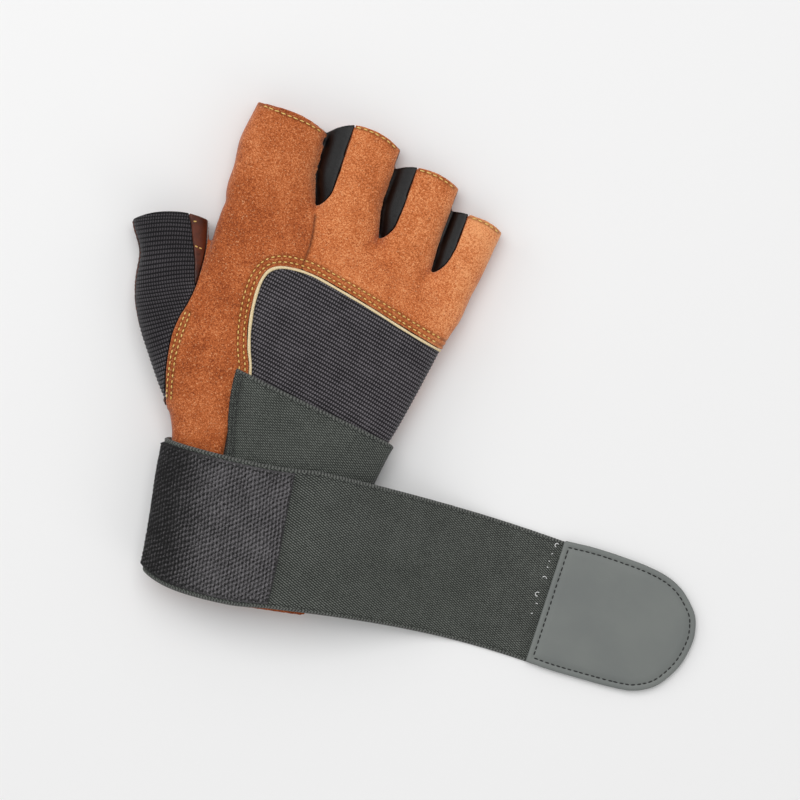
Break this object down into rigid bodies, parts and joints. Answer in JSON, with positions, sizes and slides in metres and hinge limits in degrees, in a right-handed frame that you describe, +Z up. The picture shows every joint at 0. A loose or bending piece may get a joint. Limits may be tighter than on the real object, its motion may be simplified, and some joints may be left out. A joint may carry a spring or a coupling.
{
  "type": "weightlifting glove",
  "caption": "Half-finger weightlifting glove for the right hand, suede and ribbed knit, lying palm down with its elastic wrist wrap round the wrist and its stiff end laid out.",
  "frame": {"origin": "on the surface that the glove lies on, at the flat underside of the palm, below the middle of the hand", "axes": "+X towards the little finger's side, +Y towards the fingertips, +Z up, out of the back of the hand"},
  "size_m": [0.2883, 0.2098, 0.0296],
  "materials": {
    "index_suede": "brushed suede, reddish brown",
    "knuckle_suede": "brushed suede, tan brown",
    "palm_suede": "brushed suede, brown",
    "thumb_leather": "smooth semi-gloss brown leather",
    "rib_knit": "ribbed knit, near black",
    "finger_strip": "smooth stretch fabric, near black",
    "piping": "cream edging, matte",
    "elastic": "woven elastic, dark grey",
    "loop_pile": "coarse loop pile, black",
    "tab": "smooth synthetic leather, mid grey",
    "hook_pile": "fine hooks, black"
  },
  "bodies": {
    "root": {"index_panel": "index_suede", "knuckle_panel": "knuckle_suede", "palm_panel": "palm_suede", "knit_insert": "rib_knit", "insert_piping": "piping", "thumb_back": "rib_knit", "thumb_leather": "thumb_leather", "finger_strip_index_middle": "finger_strip", "finger_strip_middle_ring": "finger_strip", "finger_strip_ring_little": "finger_strip", "wrist_wrap": "elastic", "loop_patch": "loop_pile", "end_tab": "tab", "hook_pad": "hook_pile"}
  },
  "joints": []
}
